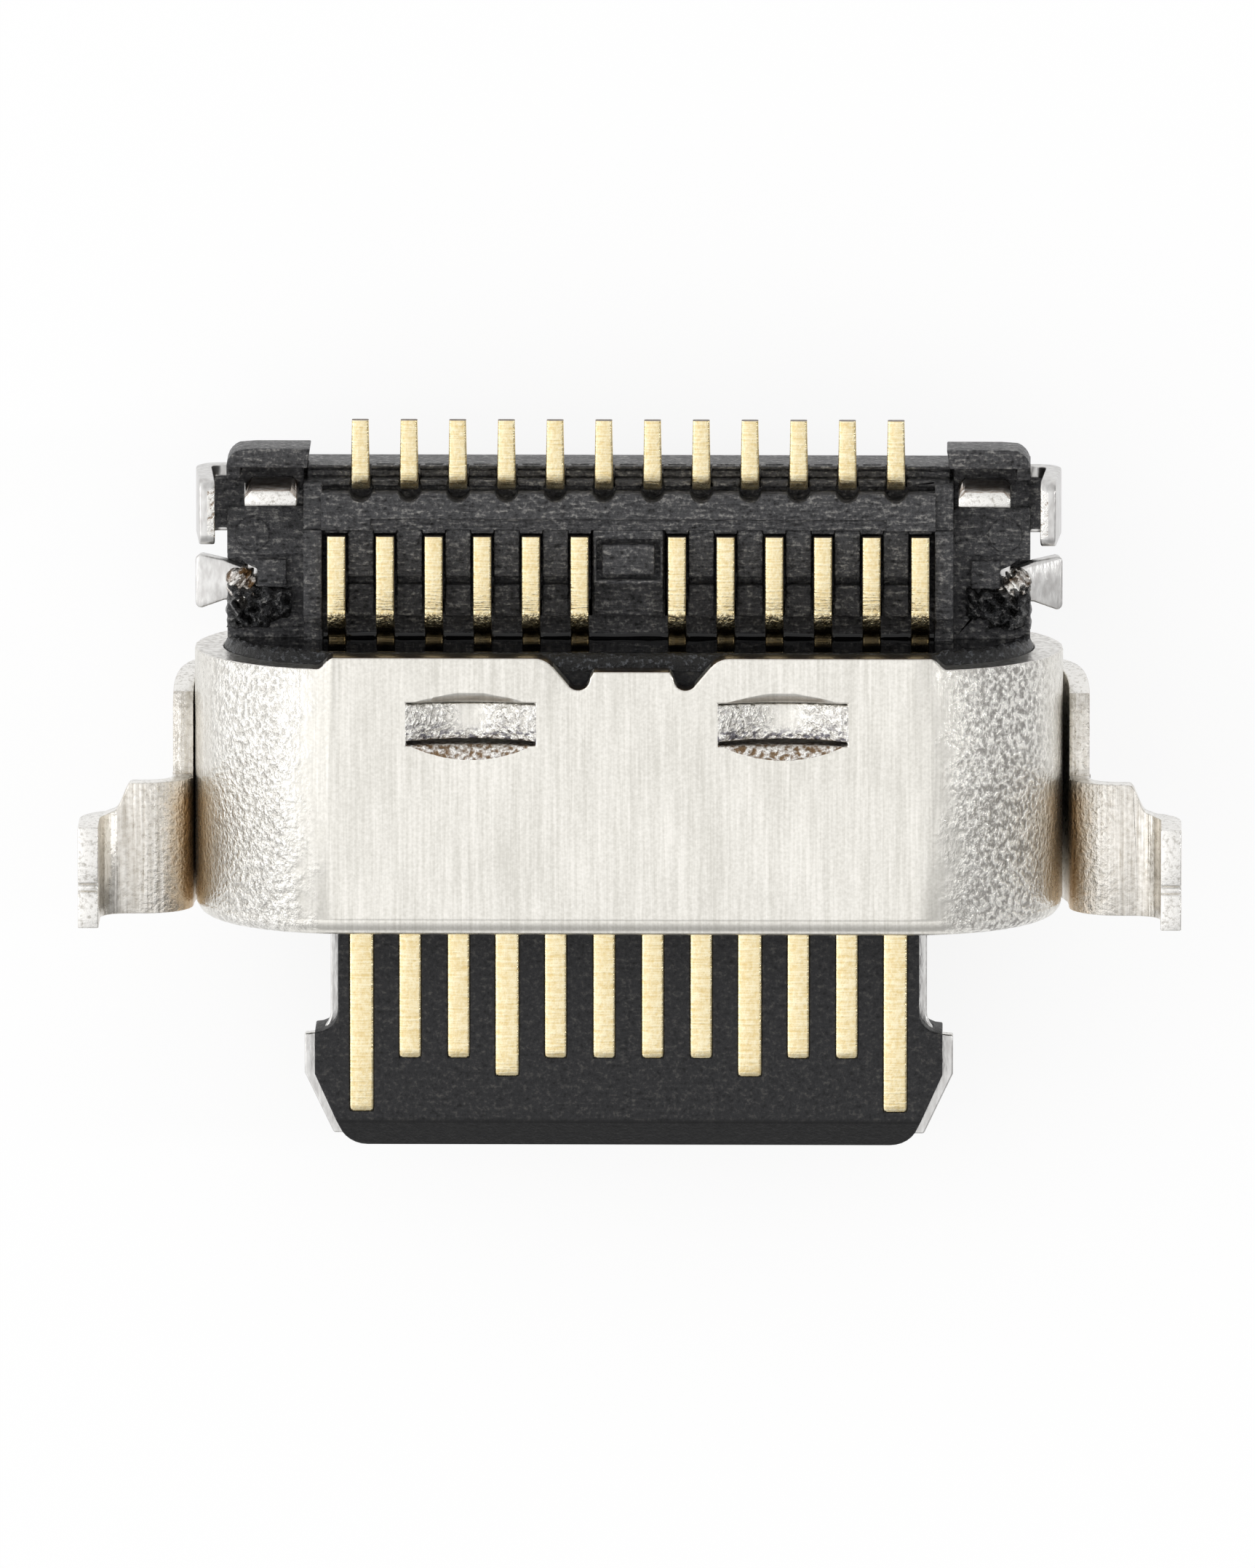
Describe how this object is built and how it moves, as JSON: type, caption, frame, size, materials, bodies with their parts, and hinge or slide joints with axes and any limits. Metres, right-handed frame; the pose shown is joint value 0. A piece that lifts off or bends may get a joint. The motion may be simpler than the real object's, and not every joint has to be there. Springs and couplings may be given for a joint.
{
  "type": "usb type-c socket",
  "caption": "Mid-mount dual-row usb type-c socket with a short drawn shell, wrapped mounting bracket, bare tongue and fanned solder tails.",
  "frame": {"origin": "centre of the shell's mouth, in the plane of its front edge and the middle plane of the tongue", "axes": "-Y points out of the mouth towards the plug, +X runs across the socket, +Z points to the circuit board's side"},
  "size_m": [0.0113, 0.0076, 0.0034],
  "materials": {
    "shell_steel": "drawn nickel-plated steel, fine lines along the shell and an orange-peel texture round the bends",
    "bracket_steel": "stamped nickel-plated steel, rougher at the bends",
    "plate_steel": "bright stamped steel with rough sheared ends",
    "contact_gold": "pale gold plating over rolled copper alloy",
    "body_resin": "black glass-filled liquid crystal polymer",
    "seal_resin": "glossy black cured epoxy"
  },
  "bodies": {
    "root": {"shell": "shell_steel", "bracket": "bracket_steel", "mid_plate": "plate_steel", "tongue_overmould": "body_resin", "near_row_mould": "body_resin", "far_row_mould": "body_resin", "near_emi_pad": "plate_steel", "far_emi_pad": "plate_steel", "epoxy_seal": "seal_resin", "near_contact_1": "contact_gold", "near_contact_2": "contact_gold", "near_contact_3": "contact_gold", "near_contact_4": "contact_gold", "near_contact_5": "contact_gold", "near_contact_6": "contact_gold", "near_contact_7": "contact_gold", "near_contact_8": "contact_gold", "near_contact_9": "contact_gold", "near_contact_10": "contact_gold", "near_contact_11": "contact_gold", "near_contact_12": "contact_gold", "far_contact_1": "contact_gold", "far_contact_2": "contact_gold", "far_contact_3": "contact_gold", "far_contact_4": "contact_gold", "far_contact_5": "contact_gold", "far_contact_6": "contact_gold", "far_contact_7": "contact_gold", "far_contact_8": "contact_gold", "far_contact_9": "contact_gold", "far_contact_10": "contact_gold", "far_contact_11": "contact_gold", "far_contact_12": "contact_gold"}
  },
  "joints": []
}
